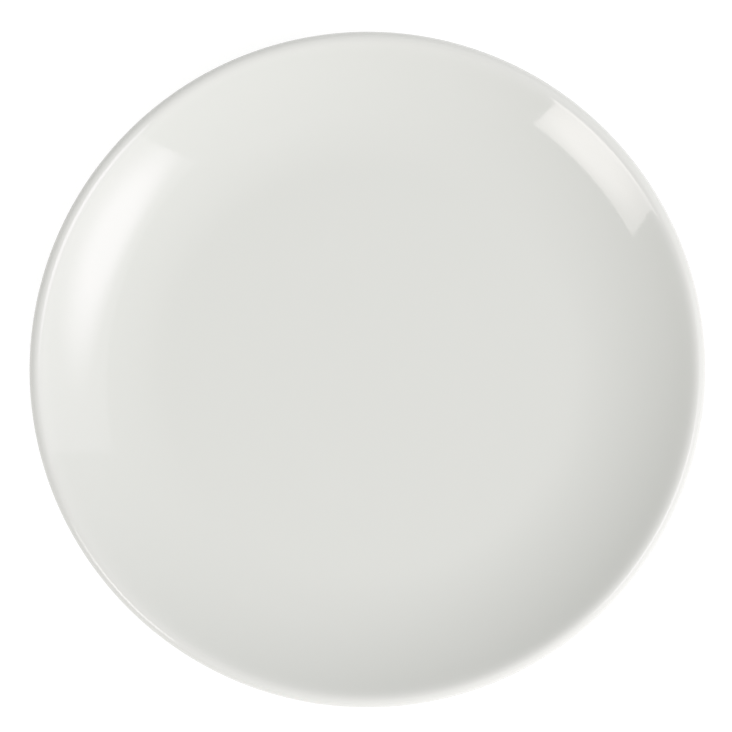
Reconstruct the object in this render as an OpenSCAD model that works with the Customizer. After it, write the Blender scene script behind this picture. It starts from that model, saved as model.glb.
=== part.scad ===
// Coupe dinner plate: a pressed porcelain body that carries two coats of fired glaze.
//
// The section lies in the half plane x >= 0 and turns about Z. It is a chain of arcs that run into
// each other without a corner: floor, wall, rim, underside and foot ring. The glaze follows the same
// chain, grown outwards by its thickness, and stops short of the foot's bearing face, which is bare.
// Z is up, and the plate stands on z = 0 with its axis at the origin. All sizes are in millimetres.

/* [Plate] */
// Diameter over the rim, glazed
plate_d = 280; // [240:1:320]
// Height from the table to the crest of the rim, glazed
plate_h = 25; // [20:0.5:34]
// Diameter of the flat floor of the well
well_d = 168; // [130:1:190]
// Thickness of the porcelain under the well
floor_t = 4.6; // [3.5:0.1:7]

/* [Rim] */
// Radius from the inner wall up to the crest of the rim, glazed
rim_inner_r = 6.5; // [4:0.1:9]
// Radius over the crest of the rim, glazed
rim_crest_r = 1.2; // [0.8:0.1:2]
// Radius from the crest of the rim round to the underside, glazed
rim_outer_r = 4; // [2.4:0.1:4.4]
// Lean from upright at which the arc over the crest ends on each side, in degrees
rim_crest_lean = 17; // [8:1:22]

/* [Foot ring] */
// Diameter of the foot ring at the middle of its bearing face
foot_d = 173; // [140:1:200]
// Width of the flat bearing face
foot_land_w = 3; // [1.5:0.1:6]
// Depth of the recess inside the foot ring, bare
foot_h = 3; // [2.2:0.1:4.5]
// Radius of the foot ring's lower edges
foot_edge_r = 0.8; // [0.3:0.1:1.2]
// Radius where the foot ring runs into the underside
foot_root_r = 1.5; // [0.8:0.1:2.4]
// Lean of the foot ring's flanks from upright, in degrees
foot_lean = 20; // [5:1:35]

/* [Glaze] */
// Thickness of the fired glaze
glaze_t = 0.3; // [0.15:0.05:0.5]
// Height above the table at which the glaze was wiped off the foot ring
bare_h = 1; // [0.9:0.1:1.8]

/* [Hidden] */
// Angle between the points of an arc, in degrees
arc_step = 2;
$fn = 180;

// Heights and radii of the bare porcelain
floor_z = foot_h + floor_t;
well_r = well_d / 2;
foot_r = foot_d / 2;
roll_in_r = rim_inner_r - glaze_t;
crest_r = rim_crest_r - glaze_t;
roll_out_r = rim_outer_r - glaze_t;

// The rim is a tight arc over the crest between two wider ones, and their centres lie on two leaning
// lines through the centre of the crest
rim_inward = [-sin(rim_crest_lean), cos(rim_crest_lean)];
rim_outward = [sin(rim_crest_lean), cos(rim_crest_lean)];
crest_x = plate_d / 2 - rim_outer_r + (roll_out_r - crest_r) * rim_outward.x;
crest_c = [crest_x, plate_h - rim_crest_r];
roll_in_c = crest_c - (roll_in_r - crest_r) * rim_inward;
roll_out_c = crest_c - (roll_out_r - crest_r) * rim_outward;

// The wall leaves the floor level at the edge of the well and touches the inner roll from outside
wall_run = roll_in_c - [well_r, floor_z];
wall_r = (wall_run * wall_run - roll_in_r ^ 2) / (2 * (wall_run.y + roll_in_r));
wall_c = [well_r, floor_z + wall_r];
wall_slope = 90 + heading(roll_in_c - wall_c);

// The underside leaves the foot ring level at its middle and holds the outer roll inside it
under_run = roll_out_c - [foot_r, foot_h];
under_r = (under_run * under_run - roll_out_r ^ 2) / (2 * (under_run.y - roll_out_r));
under_c = [foot_r, foot_h + under_r];
under_slope = 90 + heading(roll_out_c - under_c);

// Outward normals of the foot ring's flanks, and the directions up them
outer_normal = [cos(foot_lean), -sin(foot_lean)];
outer_up = [sin(foot_lean), cos(foot_lean)];
inner_normal = [-cos(foot_lean), -sin(foot_lean)];
inner_up = [-sin(foot_lean), cos(foot_lean)];

// Centres of the foot ring's lower edges
outer_edge_c = [foot_r + foot_land_w / 2, foot_edge_r];
inner_edge_c = [foot_r - foot_land_w / 2, foot_edge_r];

// The outer root touches the flank and, from below, the underside
outer_root_line = outer_edge_c + (foot_edge_r + foot_root_r) * outer_normal;
outer_root_run = outer_root_line - under_c;
outer_root_fall = outer_root_run * outer_up;
outer_root_climb = -outer_root_fall - sqrt(outer_root_fall ^ 2 - outer_root_run * outer_root_run
    + (under_r + foot_root_r) ^ 2);
outer_root_c = outer_root_line + outer_root_climb * outer_up;

// The inner root touches the flank and the level recess
inner_root_line = inner_edge_c + (foot_edge_r + foot_root_r) * inner_normal;
inner_root_climb = (foot_h - foot_root_r - inner_root_line.y) / inner_up.y;
inner_root_c = inner_root_line + inner_root_climb * inner_up;

// Direction of a vector in degrees, counted from +X
function heading(v) = atan2(v.y, v.x);

// Points along an arc; one that runs on from another leaves out the point they share
function arc(c, r, from, to, runs_on = false) =
    let (steps = ceil(abs(to - from) / arc_step))
    [for (i = [runs_on ? 1 : 0 : steps])
        let (a = from + (to - from) * i / steps)
        c + r * [cos(a), sin(a)]];

// A list of points in the other order
function backwards(points) = [for (i = [len(points) - 1 : -1 : 0]) points[i]];

// Where the glaze ends on a flank of the foot ring, grown outwards from the porcelain
function glaze_end(edge_c, normal, up, grow) =
    let (start = edge_c + foot_edge_r * normal)
    start + (bare_h - start.y) / up.y * up + grow * normal;

// From the axis over the floor, wall and rim to the outer root of the foot ring
function upper_outline(grow) = concat(
    [[0, floor_z + grow]],
    arc(wall_c, wall_r - grow, -90, wall_slope - 90),
    arc(roll_in_c, roll_in_r + grow, wall_slope + 90, heading(rim_inward), runs_on = true),
    arc(crest_c, crest_r + grow, heading(rim_inward), heading(rim_outward), runs_on = true),
    arc(roll_out_c, roll_out_r + grow, heading(rim_outward), under_slope - 90, runs_on = true),
    arc(under_c, under_r + grow, under_slope - 90, heading(outer_root_c - under_c), runs_on = true),
    arc(outer_root_c, foot_root_r - grow, heading(under_c - outer_root_c), heading(-outer_normal),
        runs_on = true));

// Round the lower edges of the foot ring and across its bearing face
function foot_outline() = concat(
    arc(outer_edge_c, foot_edge_r, heading(outer_normal), -90),
    arc(inner_edge_c, foot_edge_r, -90, heading(inner_normal)));

// From the inner root of the foot ring over the recess to the axis
function recess_outline(grow) = concat(
    arc(inner_root_c, foot_root_r - grow, heading(-inner_normal), 90),
    [[0, foot_h - grow]]);

// Pressed and fired porcelain, in one piece with its foot ring
module porcelain_body() {
    color("#e6e1d8")
        rotate_extrude()
            polygon(concat(upper_outline(0), foot_outline(), recess_outline(0)));
}

// Glaze over the eating face, round the rim and down to the foot ring
module glaze_coat() {
    color("#dedfda")
        rotate_extrude()
            polygon(concat(
                upper_outline(glaze_t),
                [glaze_end(outer_edge_c, outer_normal, outer_up, glaze_t),
                    glaze_end(outer_edge_c, outer_normal, outer_up, 0)],
                backwards(upper_outline(0))));
}

// Glaze in the recess, cut off from the rest by the bare foot ring
module foot_well_glaze() {
    color("#dcddd7")
        rotate_extrude()
            polygon(concat(
                [glaze_end(inner_edge_c, inner_normal, inner_up, glaze_t)],
                recess_outline(glaze_t),
                backwards(recess_outline(0)),
                [glaze_end(inner_edge_c, inner_normal, inner_up, 0)]));
}

porcelain_body();
glaze_coat();
foot_well_glaze();
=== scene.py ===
# %% [markdown]
# White coupe dinner plate.
#
# The plate is one pressed and fired porcelain body. It was dipped in glaze, its foot ring was wiped bare so
# that it wouldn't stick to the kiln shelf, and it was fired again. Three things are left to look at: the
# bare porcelain of the foot ring, the glaze over all the rest, and the island of glaze inside the foot ring.
# The imported CAD part is the frame for all three, so it is loaded first.

# %% Load the imported part
import math

import bpy
import numpy as np
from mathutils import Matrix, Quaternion, Vector


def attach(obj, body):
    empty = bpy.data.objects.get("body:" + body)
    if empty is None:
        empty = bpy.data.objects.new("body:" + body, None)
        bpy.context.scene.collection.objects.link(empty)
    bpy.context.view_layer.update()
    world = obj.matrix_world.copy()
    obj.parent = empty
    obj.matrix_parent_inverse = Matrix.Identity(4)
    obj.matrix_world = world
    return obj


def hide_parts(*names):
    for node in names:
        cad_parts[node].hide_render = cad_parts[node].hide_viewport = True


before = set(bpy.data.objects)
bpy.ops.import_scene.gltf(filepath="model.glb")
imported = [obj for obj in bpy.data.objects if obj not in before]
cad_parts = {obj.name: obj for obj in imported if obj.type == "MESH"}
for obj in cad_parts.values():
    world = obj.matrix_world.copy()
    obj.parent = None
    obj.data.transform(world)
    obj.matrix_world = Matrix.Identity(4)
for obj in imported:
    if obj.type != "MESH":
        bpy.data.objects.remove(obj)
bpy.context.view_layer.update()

# %% [markdown]
# The section of the plate is a chain of arcs and short straight runs that meet without a corner. These are
# the sizes that shape it, in millimetres, the same as in the CAD part. A potter would cut the same
# curve into the steel profile that presses the clay.

# %% Sizes of the section
MM = 0.001

plate_d = 280.0
plate_h = 25.0
well_d = 168.0
floor_t = 4.6
rim_inner_r = 6.5
rim_crest_r = 1.2
rim_outer_r = 4.0
rim_crest_lean = 17.0
foot_d = 173.0
foot_land_w = 3.0
foot_h = 3.0
foot_edge_r = 0.8
foot_root_r = 1.5
foot_lean = 20.0
glaze_t = 0.3
bare_h = 1.0

floor_z = foot_h + floor_t
roll_in_r = rim_inner_r - glaze_t
crest_r = rim_crest_r - glaze_t
roll_out_r = rim_outer_r - glaze_t
print("bare porcelain: floor at %.1f mm, rim arcs of %.1f, %.1f and %.1f mm" % (
    floor_z, roll_in_r, crest_r, roll_out_r))

# %% [markdown]
# Where two arcs touch, the line between their centres passes through the point they share. The rim is a
# tight arc over the crest between two wider ones, so their centres lie on two leaning lines through the
# crest's centre. The same rule gives the radius of the wall and of the underside in closed form: each leaves
# a level line at a known point and has to touch an arc of the rim.

# %% Centres of the rim, and radii and slopes of the wall and the underside


def heading(vector):
    """Direction of a vector in degrees, counted from the outward radius."""
    return math.degrees(math.atan2(vector[1], vector[0]))


outward = np.array([math.sin(math.radians(rim_crest_lean)), math.cos(math.radians(rim_crest_lean))])
inward = outward * [-1, 1]
crest_x = plate_d / 2 - rim_outer_r + (roll_out_r - crest_r) * outward[0]
crest_c = np.array([crest_x, plate_h - rim_crest_r])
roll_in_c = crest_c - (roll_in_r - crest_r) * inward
roll_out_c = crest_c - (roll_out_r - crest_r) * outward

wall_run = roll_in_c - np.array([well_d / 2, floor_z])
wall_r = (wall_run @ wall_run - roll_in_r ** 2) / (2 * (wall_run[1] + roll_in_r))
wall_c = np.array([well_d / 2, floor_z + wall_r])
wall_slope = 90 + heading(roll_in_c - wall_c)

under_run = roll_out_c - np.array([foot_d / 2, foot_h])
under_r = (under_run @ under_run - roll_out_r ** 2) / (2 * (under_run[1] - roll_out_r))
under_c = np.array([foot_d / 2, foot_h + under_r])
under_slope = 90 + heading(roll_out_c - under_c)
print("wall radius %.1f mm up to %.1f degrees, underside radius %.1f mm" % (wall_r, wall_slope, under_r))

# %% [markdown]
# The foot ring has a flat face, two rounded edges, two leaning flanks and two hollow roots. The outer root
# has to touch the flank and the curved underside at once, so its centre is found on a line beside the
# flank, at the height where it lies one root radius below the underside.

# %% Centres of the foot ring's edges and roots
lean = math.radians(foot_lean)
outer_normal = np.array([math.cos(lean), -math.sin(lean)])
outer_up = np.array([math.sin(lean), math.cos(lean)])
inner_normal = outer_normal * [-1, 1]
inner_up = outer_up * [-1, 1]
outer_edge_c = np.array([(foot_d + foot_land_w) / 2, foot_edge_r])
inner_edge_c = np.array([(foot_d - foot_land_w) / 2, foot_edge_r])

outer_root_line = outer_edge_c + (foot_edge_r + foot_root_r) * outer_normal
outer_root_run = outer_root_line - under_c
outer_root_fall = outer_root_run @ outer_up
outer_root_reach = outer_root_fall ** 2 - outer_root_run @ outer_root_run + (under_r + foot_root_r) ** 2
outer_root_c = outer_root_line - (outer_root_fall + math.sqrt(outer_root_reach)) * outer_up

inner_root_line = inner_edge_c + (foot_edge_r + foot_root_r) * inner_normal
inner_root_c = inner_root_line + (foot_h - foot_root_r - inner_root_line[1]) / inner_up[1] * inner_up
print("root centres, mm:", np.round(outer_root_c, 2), np.round(inner_root_c, 2))

# %% [markdown]
# A section is kept as two arrays, points and outward normals. The glaze needs the normals, because it is the
# same section grown outwards by a thickness that changes from place to place. Tight curves get their points
# close together, and level stretches far apart.

# %% Runs of the section
LEVEL_STEP = 4.0
WALL_STEP = 1.0
ROLL_STEP = 0.16
FOOT_STEP = 0.14


def arc_run(centre, radius, start, end, step, hollow=False):
    """An arc from a start to an end heading, with a point every step: centre plus radius times cosine and
    sine, with normals that point away from the centre, or towards it where the porcelain is hollow."""
    turn = math.radians(end - start)
    angle = math.radians(start) + np.linspace(0, turn, 2 + int(abs(turn) * radius / step))
    spoke = np.stack([np.cos(angle), np.sin(angle)], axis=1)
    return centre + radius * spoke, -spoke if hollow else spoke


def line_run(start, end, step, normal):
    """A straight run: points in even steps from a start to an end, all with the same normal."""
    share = np.linspace(0, 1, 2 + int(math.dist(start, end) / step))[:, None]
    return (1 - share) * start + share * end, np.repeat([normal], len(share), axis=0)


def chain(*runs):
    """Runs joined end to end, with the point that two neighbours share kept once."""
    points = np.concatenate([runs[0][0]] + [run[0][1:] for run in runs[1:]])
    normals = np.concatenate([runs[0][1]] + [run[1][1:] for run in runs[1:]])
    return points, normals


upward = np.array([0.0, 1.0])
face_run = chain(
    line_run(np.array([0.0, floor_z]), np.array([well_d / 2, floor_z]), LEVEL_STEP, upward),
    arc_run(wall_c, wall_r, -90, wall_slope - 90, WALL_STEP, hollow=True),
    arc_run(roll_in_c, roll_in_r, wall_slope + 90, heading(inward), ROLL_STEP),
    arc_run(crest_c, crest_r, heading(inward), heading(outward), ROLL_STEP),
    arc_run(roll_out_c, roll_out_r, heading(outward), under_slope - 90, ROLL_STEP),
    arc_run(under_c, under_r, under_slope - 90, heading(outer_root_c - under_c), WALL_STEP),
    arc_run(outer_root_c, foot_root_r, heading(under_c - outer_root_c), heading(-outer_normal), FOOT_STEP,
            hollow=True),
)
foot_run = chain(
    arc_run(outer_edge_c, foot_edge_r, heading(outer_normal), -90, FOOT_STEP),
    line_run(outer_edge_c - [0, foot_edge_r], inner_edge_c - [0, foot_edge_r], WALL_STEP, -upward),
    arc_run(inner_edge_c, foot_edge_r, -90, heading(inner_normal), FOOT_STEP),
)
recess_run = chain(
    arc_run(inner_root_c, foot_root_r, heading(-inner_normal), 90, FOOT_STEP, hollow=True),
    line_run(np.array([inner_root_c[0], foot_h]), np.array([0.0, foot_h]), LEVEL_STEP, -upward),
)
print("points along the face %d, the foot %d and the recess %d" % tuple(
    len(run[0]) for run in (face_run, foot_run, recess_run)))

# %% [markdown]
# Every piece of the plate is a shell turned about the axis. Its section starts and ends on the axis, so the
# shell closes at two poles. The grid is worked out in one step: rows run along the section and columns
# run round the axis, and each row may have its own radius and height in every column.

# %% Turn a section into a closed shell
TURNS = 288
theta = np.arange(TURNS) * 2 * math.pi / TURNS


def by_point(grid):
    """A grid's values in the order of the mesh's points: one for each pole, and all between."""
    return np.concatenate([grid[0, :1], grid[1:-1].reshape(-1, *grid.shape[2:]), grid[-1, :1]])


def turned_shell(name, radius, height, **marks):
    """A closed mesh turned about Z: x and y are the radius times cosine and sine of the turn, z is the
    height. The first and last rows shrink to one point each. Marks are values kept on the points."""
    grid = np.stack([radius * np.cos(theta), radius * np.sin(theta), height], axis=2) * MM
    points = by_point(grid)
    ring = 1 + np.arange(len(points) - 2).reshape(-1, TURNS)
    beside = np.roll(ring, -1, axis=1)
    quads = np.stack([ring[:-1], ring[1:], beside[1:], beside[:-1]], axis=2).reshape(-1, 4)
    first_fan = np.stack([np.zeros(TURNS, int), ring[0], beside[0]], axis=1)
    last_fan = np.stack([np.full(TURNS, len(points) - 1), beside[-1], ring[-1]], axis=1)
    mesh = bpy.data.meshes.new(name)
    mesh.from_pydata(points, [], first_fan.tolist() + quads.tolist() + last_fan.tolist())
    mesh.polygons.foreach_set("use_smooth", np.ones(len(mesh.polygons), bool))
    for mark, value in marks.items():
        is_vector = value.ndim == grid.ndim
        kept = mesh.attributes.new(mark, "FLOAT_VECTOR" if is_vector else "FLOAT", "POINT")
        kept.data.foreach_set("vector" if is_vector else "value", by_point(value).ravel())
    piece = bpy.data.objects.new(name, mesh)
    bpy.context.scene.collection.objects.link(piece)
    print(name, "has", len(points), "points and", 2 * len(quads) + 2 * TURNS, "triangles")
    return piece


# %% [markdown]
# The porcelain body is the plain section, turned. Only its foot ring shows, between the two edges of glaze,
# but it is made whole, because a plate that is only a skin would be hollow in the exported model.

# %% Porcelain body
body_points, _ = chain(
    face_run,
    line_run(face_run[0][-1], foot_run[0][0], FOOT_STEP, outer_normal),
    foot_run,
    line_run(foot_run[0][-1], recess_run[0][0], FOOT_STEP, inner_normal),
    recess_run,
)
body_grid = np.repeat(body_points[:, :, None], TURNS, axis=2)
porcelain_body = turned_shell("porcelain_biscuit", body_grid[:, 0], body_grid[:, 1])

# %% [markdown]
# Glaze is a fluid in the kiln. It draws thin over the rolled edge and gathers a little in hollows, and it
# ends at the wiped foot in a rounded bead that isn't quite level. So its thickness is a function of the
# place along the section and of the turn: an even coat, less at the roll, more at the roots, with slow waves
# of a few hundredths of a millimetre that make real reflections swim a little.

# %% Thickness of the glaze
EVEN_COAT = 0.24
THIN_OVER_ROLL = 0.09
ROLL_REACH = 6.0
GATHER_AT_ROOT = 0.03
GATHER_REACH = 15.0
SLOW_WAVE = 0.02
WAVE_REACH = 8.0
WAVE_COUNTS = [2, 3, 5]
WAVE_SEED = 4


def waves(angle, counts, seed):
    """A smooth closed wave round the plate: the mean of cosines with whole numbers of turns and drawn
    phases, so that it stays between -1 and 1."""
    phases = np.random.default_rng(seed).uniform(0, 2 * math.pi, len(counts))
    return np.cos(np.outer(angle, counts) + phases).mean(axis=1)


def coat(points):
    """Glaze thickness in millimetres over section points, a row each and a column for every turn: the even
    coat, minus a bell over the rolled edge, plus a bell at the roots, plus a slow wave that dies out towards
    the axis."""
    radius = points[:, 0]
    roll = np.exp(-((radius - plate_d / 2) / ROLL_REACH) ** 2)
    root = np.exp(-((radius - foot_d / 2) / GATHER_REACH) ** 2)
    even = EVEN_COAT - THIN_OVER_ROLL * roll + GATHER_AT_ROOT * root
    fade = np.clip(2 * radius / well_d, 0, 1) ** 2
    swirl = np.cos(radius / WAVE_REACH)[:, None] * waves(theta, WAVE_COUNTS, WAVE_SEED)
    return even[:, None] + SLOW_WAVE * fade[:, None] * swirl


print("glaze over the well %.2f mm, over the rim %.2f mm" % (EVEN_COAT, EVEN_COAT - THIN_OVER_ROLL))

# %% [markdown]
# On each flank of the foot ring the glaze stops at the line where the sponge wiped it off. No hand holds a
# sponge quite level, so the line wavers, and each column of the grid ends at its own height.

# %% Flanks of the foot down to the wiped line
WIPE_WAVER = 0.22
WIPE_COUNTS = [3, 7, 11, 18, 29]
OUTER_WIPE_SEED = 11
INNER_WIPE_SEED = 12
FLANK_ROWS = 12


def flank_rows(root_c, normal, up, seed):
    """Rows down a flank of the foot, from its root to the wiped line, which wavers round the plate: each
    column runs in even steps between the two. Returns radius, height and distance to the line."""
    root_end = root_c - foot_root_r * normal
    line_height = bare_h + WIPE_WAVER * waves(theta, WIPE_COUNTS, seed)
    share = np.linspace(0, 1, FLANK_ROWS)[:, None]
    height = (1 - share) * root_end[1] + share * line_height
    radius = root_end[0] + (height - root_end[1]) * up[0] / up[1]
    return radius, height, (height - line_height) / up[1]


outer_flank = flank_rows(outer_root_c, outer_normal, outer_up, OUTER_WIPE_SEED)
inner_flank = flank_rows(inner_root_c, inner_normal, inner_up, INNER_WIPE_SEED)
print("wiped line between %.2f and %.2f mm" % (outer_flank[1][-1].min(), outer_flank[1][-1].max()))

# %% [markdown]
# Porcelain is translucent. Light sinks in and comes out a few millimetres away, so its soft white is
# smoother than its shape, most of all at a thin edge that is lit from one side. Subsurface scattering would
# need a thick solid, and this coat is a thin shell. So each point also keeps a softened normal, the mean of
# the normals around it, for the white under the gloss. The gloss itself keeps the true one.

# %% Softened normals
GLOW_REACH = 2.6


def softened(points, normals):
    """At each section point the mean of all normals, each weighted by a bell of its distance through the
    clay and by the length of section that it stands for, made one unit long."""
    length = np.linalg.norm(np.gradient(points, axis=0), axis=1)
    apart = np.linalg.norm(points[:, None] - points, axis=2)
    mean = (np.exp(-(apart / GLOW_REACH) ** 2) * length) @ normals
    return mean / np.linalg.norm(mean, axis=1, keepdims=True)


def around(normals):
    """Section normals carried round the axis: the radial part times cosine and sine, and the upward part."""
    level = np.ones(TURNS)
    turned = [np.outer(normals[:, 0], np.cos(theta)), np.outer(normals[:, 0], np.sin(theta))]
    return np.stack(turned + [np.outer(normals[:, 1], level)], axis=2)


rim_glow = softened(*face_run)[:, 0] - face_run[1][:, 0]
print("most that the glow turns a normal, as a sine: %.2f" % abs(rim_glow).max())

# %% [markdown]
# The glaze shell is the outer face of the coat, from the axis to the wiped line, and then the way back along
# the porcelain. The last fraction of a millimetre is rounded off like the edge of a drop.

# %% Glaze shells
BEAD_W = 0.45
BACK_STEP = 4


def glaze_shell(name, run, flank, normal, faces_down=False):
    """The coat's outer face along a run and down a flank, then back along the porcelain: each outer point is
    the porcelain's point plus the thickness times the normal. A run that faces down is taken in the other
    order, so that its faces point out too."""
    points, normals = run
    base_radius = np.concatenate([np.repeat(points[:, :1], TURNS, axis=1), flank[0][1:]])
    base_height = np.concatenate([np.repeat(points[:, 1:], TURNS, axis=1), flank[1][1:]])
    facing = np.concatenate([normals, np.repeat([normal], FLANK_ROWS - 1, axis=0)])
    even = np.concatenate([coat(points), np.repeat(coat(points[-1:]), FLANK_ROWS - 1, axis=0)])
    to_line = np.concatenate([np.ones((len(points), TURNS)), flank[2][1:] / BEAD_W]).clip(0, 1)
    thickness = even * np.sqrt(1 - (1 - to_line) ** 2)
    soft = around(softened(np.stack([base_radius[:, 0], base_height[:, 0]], axis=1), facing))
    back = np.append(np.arange(len(even) - 2, 0, -BACK_STEP), 0)
    order = slice(None, None, -1 if faces_down else 1)
    radius = np.concatenate([base_radius + thickness * facing[:, :1], base_radius[back]])[order]
    height = np.concatenate([base_height + thickness * facing[:, 1:], base_height[back]])[order]
    depth = np.concatenate([thickness, thickness[back]])[order]
    glow = np.concatenate([soft, -soft[back]])[order]
    return turned_shell(name, radius, height, glaze_mm=depth, soft_normal=glow)


recess_outwards = (recess_run[0][::-1], recess_run[1][::-1])
glaze_coat = glaze_shell("glaze_over_plate", face_run, outer_flank, outer_normal)
foot_well_glaze = glaze_shell(
    "glaze_in_foot_well", recess_outwards, inner_flank, inner_normal, faces_down=True)

# %% [markdown]
# The three pieces ride on the plate's one body. Each stands for its CAD node, which is hidden.

# %% Tie the pieces to the CAD part
for piece, node, slot in (
    (porcelain_body, "porcelain_body", "porcelain"),
    (glaze_coat, "glaze_coat", "glaze"),
    (foot_well_glaze, "foot_well_glaze", "foot_well_glaze"),
):
    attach(piece, "root")
    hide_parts(node)
    print(piece.name, "stands for", node)

# %% [markdown]
# Colours are written as sRGB hex codes, the way a colour picker shows them, and turned to the linear values
# that the shader works in. One small function adds any node with its settings and its links.

# %% Colour and node helpers


def srgb(code):
    """Linear colour of an sRGB hex code: each channel as a share of 255, with the sRGB curve undone."""
    share = np.array([int(code[at:at + 2], 16) for at in (1, 3, 5)]) / 255
    linear = np.where(share <= 0.04045, share / 12.92, ((share + 0.055) / 1.055) ** 2.4)
    return (*linear.tolist(), 1.0)


def add_node(tree, kind, sockets=None, **settings):
    """A node with its settings, whose named sockets get a value, or a link from another node's output."""
    node = tree.nodes.new(kind)
    for setting, value in settings.items():
        setattr(node, setting, value)
    for socket, value in (sockets or {}).items():
        if isinstance(value, bpy.types.NodeSocket):
            tree.links.new(value, node.inputs[socket])
        else:
            node.inputs[socket].default_value = value
    return node


def new_material(name):
    """An empty material and its node tree."""
    material = bpy.data.materials.new(name)
    material.use_nodes = True
    material.node_tree.nodes.clear()
    return material, material.node_tree


WHITE = srgb("#ffffff")
print("the half grey #808080 is %.3f of white in linear values" % srgb("#808080")[0])

# %% [markdown]
# The glaze is a clear glass fired onto white clay. To the eye it is a soft white with a sharp gloss on it,
# which is what a shader's coat is: a clear layer over a matte base. Where the glass is thick it adds a trace
# of grey-green, and where it is drawn thin over the edge, the whiter clay shows through. The surface froze
# from a fluid, so it has a soft orange-peel ripple.

# %% Fired gloss glaze
PEEL_MM = 2.5
PEEL_DEPTH_MM = 0.006
PEEL_DETAIL = 1.0
CLOUD_MM = 14.0
CLOUD_DEPTH_MM = 0.02
CLOUD_DETAIL = 3.0
THIN_GLAZE_MM = 0.16
DEEP_GLAZE_MM = 0.25
GLAZE_IOR = 1.6
GLOSS_ROUGHNESS = 0.05
WHITE_BASE_ROUGHNESS = 0.6


def fired_glaze(name, thin_code, deep_code):
    """Gloss glaze: the white runs from thin to deep with the coat's own thickness and drifts in faint
    clouds. The base takes the softened normal and the coat the true one, both with a fine ripple."""
    material, tree = new_material(name)
    place = add_node(tree, "ShaderNodeTexCoord").outputs["Object"]
    depth = add_node(tree, "ShaderNodeAttribute", attribute_name="glaze_mm").outputs["Fac"]
    soft = add_node(tree, "ShaderNodeAttribute", attribute_name="soft_normal").outputs["Vector"]
    glow = add_node(tree, "ShaderNodeVectorTransform", {"Vector": soft}, vector_type="NORMAL",
                    convert_from="OBJECT", convert_to="WORLD")
    cloud = add_node(tree, "ShaderNodeTexNoise", {
        "Vector": place, "Scale": 1 / (CLOUD_MM * MM), "Detail": CLOUD_DETAIL})
    drift = add_node(tree, "ShaderNodeMath", {
        0: cloud.outputs["Fac"], 1: CLOUD_DEPTH_MM, 2: depth}, operation="MULTIPLY_ADD")
    share = add_node(tree, "ShaderNodeMapRange", {
        "Value": drift.outputs[0], "From Min": THIN_GLAZE_MM, "From Max": DEEP_GLAZE_MM})
    tone = add_node(tree, "ShaderNodeMix", {
        "Factor": share.outputs[0], "A": srgb(thin_code), "B": srgb(deep_code)}, data_type="RGBA")
    peel = add_node(tree, "ShaderNodeTexNoise", {
        "Vector": place, "Scale": 1 / (PEEL_MM * MM), "Detail": PEEL_DETAIL})
    ripple, soft_ripple = (add_node(tree, "ShaderNodeBump", {
        "Height": peel.outputs["Fac"], "Distance": PEEL_DEPTH_MM * MM}) for _ in range(2))
    tree.links.new(glow.outputs[0], soft_ripple.inputs["Normal"])
    glaze = add_node(tree, "ShaderNodeBsdfPrincipled", {
        "Base Color": tone.outputs["Result"], "Roughness": WHITE_BASE_ROUGHNESS, "Specular IOR Level": 0.0,
        "Normal": soft_ripple.outputs[0], "Coat Weight": 1.0, "Coat Roughness": GLOSS_ROUGHNESS,
        "Coat IOR": GLAZE_IOR, "Coat Normal": ripple.outputs[0]})
    add_node(tree, "ShaderNodeOutputMaterial", {"Surface": glaze.outputs[0]})
    return material


glaze_coat.data.materials.append(
    fired_glaze("gloss_glaze_on_porcelain", thin_code="#e4e5e0", deep_code="#dee0da"))
foot_well_glaze.data.materials.append(
    fired_glaze("gloss_glaze_in_foot_well", thin_code="#e8e7e2", deep_code="#dbddd7"))
print("glaze ripple every", PEEL_MM, "mm,", PEEL_DEPTH_MM, "mm deep")

# %% [markdown]
# The foot ring is bare biscuit, fired clay as it left the sponge. It is matte and a little warmer than the
# glaze, with a sandy grain. The flat face was ground smooth so that it doesn't scratch a table, and years on
# tables and other plates leave faint grey rubs on it.

# %% Bare fired porcelain
PALE_CLAY = "#ece6dc"
SANDY_CLAY = "#ddd6ca"
RUBBED_CLAY = "#cbc6bd"
GRAIN_MM = 0.35
GRAIN_DEPTH_MM = 0.04
GRAIN_DETAIL = 4.0
RUB_MM = 5.0
RUB_DETAIL = 5.0
RUB_FAINT_SHARE = 0.45
RUB_FULL_SHARE = 0.85
BISCUIT_IOR = 1.5
BISCUIT_ROUGHNESS = 0.75


def bare_biscuit(name):
    """Matte fired clay: a fine grain in colour and height, with faint grey rubs in patches."""
    material, tree = new_material(name)
    place = add_node(tree, "ShaderNodeTexCoord").outputs["Object"]
    grain = add_node(tree, "ShaderNodeTexNoise", {
        "Vector": place, "Scale": 1 / (GRAIN_MM * MM), "Detail": GRAIN_DETAIL})
    rub = add_node(tree, "ShaderNodeTexNoise", {
        "Vector": place, "Scale": 1 / (RUB_MM * MM), "Detail": RUB_DETAIL})
    rubbed = add_node(tree, "ShaderNodeMapRange", {
        "Value": rub.outputs["Fac"], "From Min": RUB_FAINT_SHARE, "From Max": RUB_FULL_SHARE})
    clay = add_node(tree, "ShaderNodeMix", {
        "Factor": grain.outputs["Fac"], "A": srgb(SANDY_CLAY), "B": srgb(PALE_CLAY)}, data_type="RGBA")
    worn = add_node(tree, "ShaderNodeMix", {
        "Factor": rubbed.outputs[0], "A": clay.outputs["Result"], "B": srgb(RUBBED_CLAY)}, data_type="RGBA")
    sand = add_node(tree, "ShaderNodeBump", {
        "Height": grain.outputs["Fac"], "Distance": GRAIN_DEPTH_MM * MM})
    biscuit = add_node(tree, "ShaderNodeBsdfPrincipled", {
        "Base Color": worn.outputs["Result"], "Roughness": BISCUIT_ROUGHNESS, "Normal": sand.outputs[0],
        "IOR": BISCUIT_IOR})
    add_node(tree, "ShaderNodeOutputMaterial", {"Surface": biscuit.outputs[0]})
    return material


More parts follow.
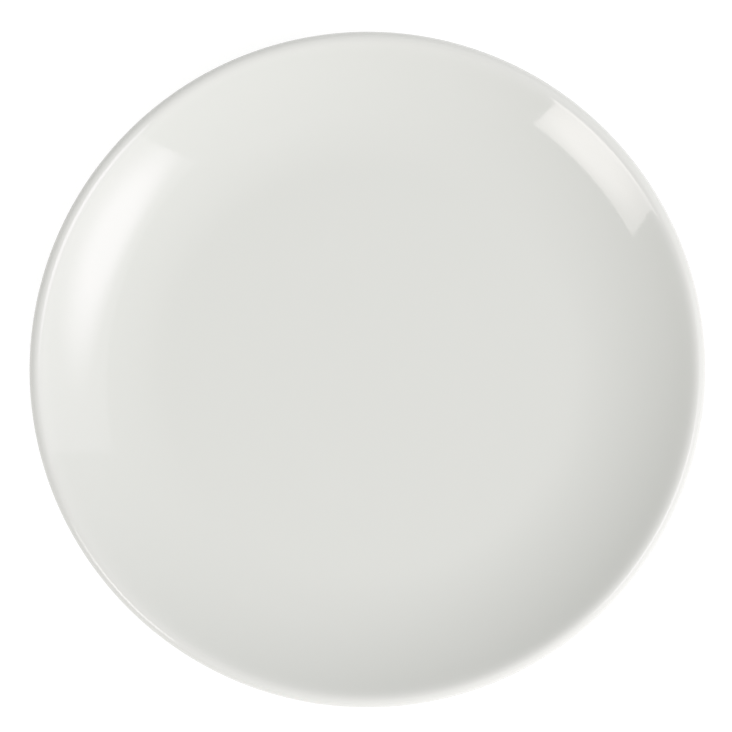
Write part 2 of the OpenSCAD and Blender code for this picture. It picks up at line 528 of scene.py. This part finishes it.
porcelain_body.data.materials.append(bare_biscuit("bare_fired_porcelain"))
print("biscuit grain", GRAIN_MM, "mm, rubs", RUB_MM, "mm")

# %% [markdown]
# The picture's ground is plain white. A lit white floor alone would turn grey where the light falls off, so
# what the camera and reflections see of it is mostly a steady white, with some of the lit floor added, which
# keeps the plate's shadow. All other rays meet a grey matte floor with a glow of its own. It bounces light
# up, and the glow stands for the light that would creep in under the plate. From below, the floor is clear,
# so that the foot ring can be looked at too.

# %% White floor
FLOOR_SIDE = 6.0
STEADY_WHITE = 0.7
LIT_WHITE_SHARE = 0.42
BOUNCE_GREY = "#aaaaaa"
UNDER_GLOW = 0.75


def seen_directly(tree):
    """1 for camera, glossy and transmission rays, and 0 for all others."""
    ray = add_node(tree, "ShaderNodeLightPath").outputs
    mirrored = add_node(tree, "ShaderNodeMath", {
        0: ray["Is Glossy Ray"], 1: ray["Is Transmission Ray"]}, operation="MAXIMUM")
    direct = add_node(tree, "ShaderNodeMath", {
        0: ray["Is Camera Ray"], 1: mirrored.outputs[0]}, operation="MAXIMUM")
    return direct.outputs[0]


def glowing_floor(tree, colour, strength):
    """A matte colour with a steady glow added to it."""
    matte = add_node(tree, "ShaderNodeBsdfDiffuse", {"Color": colour})
    glow = add_node(tree, "ShaderNodeEmission", {"Color": WHITE, "Strength": strength})
    return add_node(tree, "ShaderNodeAddShader", {0: matte.outputs[0], 1: glow.outputs[0]}).outputs[0]


floor_material, floor_tree = new_material("white_floor")
bounced = glowing_floor(floor_tree, srgb(BOUNCE_GREY), UNDER_GLOW)
shown = glowing_floor(floor_tree, (LIT_WHITE_SHARE, LIT_WHITE_SHARE, LIT_WHITE_SHARE, 1.0), STEADY_WHITE)
from_above = add_node(floor_tree, "ShaderNodeMixShader", {
    0: seen_directly(floor_tree), 1: bounced, 2: shown})
clear = add_node(floor_tree, "ShaderNodeBsdfTransparent")
below = add_node(floor_tree, "ShaderNodeNewGeometry").outputs["Backfacing"]
floor_mix = add_node(floor_tree, "ShaderNodeMixShader", {
    0: below, 1: from_above.outputs[0], 2: clear.outputs[0]})
add_node(floor_tree, "ShaderNodeOutputMaterial", {"Surface": floor_mix.outputs[0]})

corners = np.array([[-1, -1, 0], [1, -1, 0], [1, 1, 0], [-1, 1, 0]]) * FLOOR_SIDE / 2
floor_mesh = bpy.data.meshes.new("floor")
floor_mesh.from_pydata(corners.tolist(), [], [(0, 1, 2, 3)])
floor_mesh.materials.append(floor_material)
floor = bpy.data.objects.new("floor", floor_mesh)
bpy.context.scene.collection.objects.link(floor)
print("floor", FLOOR_SIDE, "m across")

# %% [markdown]
# The room is white too. The gloss mirrors it as an even white. The soft light that it sends onto the plate
# is strongest from the lower right, halfway up, and falls off evenly with the cosine of the angle from
# there, as in a room with one bright side. It dies out only low down on the opposite side.

# %% White room
ROOM_AZIMUTH = -27.0
ROOM_ELEVATION = 40.0
ROOM_BRIGHT = 1.15
ROOM_DARK_COSINE = -0.74


def compass(azimuth, elevation):
    """Unit vector of an azimuth and an elevation, in degrees."""
    turn, rise = math.radians(azimuth), math.radians(elevation)
    return Vector((math.cos(rise) * math.cos(turn), math.cos(rise) * math.sin(turn), math.sin(rise)))


world = bpy.data.worlds.new("white_room")
bpy.context.scene.world = world
world.use_nodes = True
room = world.node_tree
room.nodes.clear()
way = add_node(room, "ShaderNodeTexCoord").outputs["Generated"]
bright_side = add_node(room, "ShaderNodeVectorMath", {
    0: way, 1: compass(ROOM_AZIMUTH, ROOM_ELEVATION)}, operation="DOT_PRODUCT")
level = add_node(room, "ShaderNodeMapRange", {
    "Value": bright_side.outputs["Value"], "From Min": ROOM_DARK_COSINE, "From Max": 1.0,
    "To Min": 0.0, "To Max": ROOM_BRIGHT})
ambient = add_node(room, "ShaderNodeBackground", {"Color": WHITE, "Strength": level.outputs[0]})
mirrored_room = add_node(room, "ShaderNodeBackground", {"Color": WHITE, "Strength": 1.0})
sky = add_node(room, "ShaderNodeMixShader", {
    0: seen_directly(room), 1: ambient.outputs[0], 2: mirrored_room.outputs[0]})
add_node(room, "ShaderNodeOutputWorld", {"Surface": sky.outputs[0]})
print("room light", ROOM_BRIGHT, "from azimuth", ROOM_AZIMUTH, "and elevation", ROOM_ELEVATION)

# %% [markdown]
# Two softboxes light the plate, and the gloss shows both. Each is an even panel with sharp borders and a
# brighter core where its bulb is. The key softbox stands to the right. Its panel is faint, and its core dies
# out before three of the borders and is cut off by the fourth. The side softbox stands to the lower left, is
# turned a little in its own plane and is bright all over. Both have a trace of violet or pink, which takes
# the glaze's green out of the highlights. A mirror tilted by an angle turns a ray by twice that angle, so a
# highlight at a place on the wall where the slope is known tells how high the lamp stands.

# %% Softboxes
LEVEL_TOP_SHARE = 0.25


def softbox(name, colour, azimuth, reach, middle, tilt, roll, size, panel, core, core_at, core_reach):
    """A rectangular lamp of one colour on a stand. Its middle is reach from the plate's axis and middle
    above the table, it leans over the plate by tilt degrees, and it is turned in its own plane by roll
    degrees. Its radiance is an even panel plus a core: a smooth hill with a level top, over an ellipse of
    core_reach about the point core_at, counted from the middle of the box."""
    light = bpy.data.lights.new(name, "AREA")
    light.shape = "RECTANGLE"
    light.size, light.size_y = size
    light.energy = math.pi * size[0] * size[1]
    light.use_nodes = True
    tree = light.node_tree
    tree.nodes.clear()
    place = add_node(tree, "ShaderNodeTexCoord").outputs["UV"]
    scale = np.array(size) / core_reach
    centre = (np.array(size) / 2 + core_at) / size
    centred = add_node(tree, "ShaderNodeMapping", {
        "Vector": place, "Location": (*(-centre * scale), 0), "Scale": (*scale, 0)})
    hill = add_node(tree, "ShaderNodeTexGradient", {
        "Vector": centred.outputs[0]}, gradient_type="SPHERICAL")
    bright = add_node(tree, "ShaderNodeMapRange", {
        "Value": hill.outputs["Fac"], "From Max": 1 - LEVEL_TOP_SHARE,
        "To Min": panel, "To Max": panel + core}, interpolation_type="SMOOTHSTEP")
    glow = add_node(tree, "ShaderNodeEmission", {"Color": srgb(colour), "Strength": bright.outputs[0]})
    add_node(tree, "ShaderNodeOutputLight", {"Surface": glow.outputs[0]})
    lamp = bpy.data.objects.new(name, light)
    lamp.location = compass(azimuth, 0) * reach + Vector((0, 0, middle))
    facing = compass(azimuth, tilt).to_track_quat("Z", "Y")
    lamp.rotation_euler = (facing @ Quaternion((0, 0, 1), math.radians(roll))).to_euler()
    lamp.visible_camera = False
    bpy.context.scene.collection.objects.link(lamp)
    print(name, "at", [round(value, 2) for value in lamp.location])


softbox("key_softbox", colour="#fbf3ff", azimuth=-13.7, reach=1.2, middle=1.39, tilt=8, roll=0,
        size=(1.57, 1.9), panel=0.45, core=2.5, core_at=(-0.25, 0.07), core_reach=(0.79, 0.74))
softbox("side_softbox", colour="#fff8f8", azimuth=-141.3, reach=2.276, middle=1.624, tilt=23.6, roll=3.4,
        size=(1.11, 0.92), panel=1.85, core=2.1, core_at=(0.08, -0.07), core_reach=(0.75, 0.66))

# %% [markdown]
# The camera looks down, as the photograph does. The circle of the rim's crest isn't quite centred in the
# plate's outline there, so the view leans off the axis by a couple of degrees. The camera's height sets the
# perspective, and the lens then follows from how many pixels the plate's radius takes. A small step to the
# side puts the plate's axis on its pixel.

# %% Camera
IMAGE_PX = 732
OUTLINE_RADIUS_PX = 338.5
AXIS_PX = (367.04, 368.68)
CAMERA_ABOVE_RIM = 1.8
CAMERA_LEAN = 2.4
CAMERA_LEAN_AZIMUTH = -60.0

metres_per_pixel = plate_d / 2 * MM / OUTLINE_RADIUS_PX
camera_data = bpy.data.cameras.new("camera")
camera_data.lens = camera_data.sensor_width * CAMERA_ABOVE_RIM / (IMAGE_PX * metres_per_pixel)
camera = bpy.data.objects.new("camera", camera_data)
looked_at = Vector((
    (IMAGE_PX / 2 - AXIS_PX[0]) * metres_per_pixel,
    (AXIS_PX[1] - IMAGE_PX / 2) * metres_per_pixel,
    roll_out_c[1] * MM,
))
straight_up = Vector((0, 0, 1))
to_camera = compass(CAMERA_LEAN_AZIMUTH, 90 - CAMERA_LEAN)
camera.location = looked_at + CAMERA_ABOVE_RIM * to_camera
camera.rotation_euler = straight_up.rotation_difference(to_camera).to_euler()
bpy.context.scene.collection.objects.link(camera)
bpy.context.scene.camera = camera
bpy.context.scene.view_settings.view_transform = "Standard"
print("lens %.1f mm" % camera_data.lens)
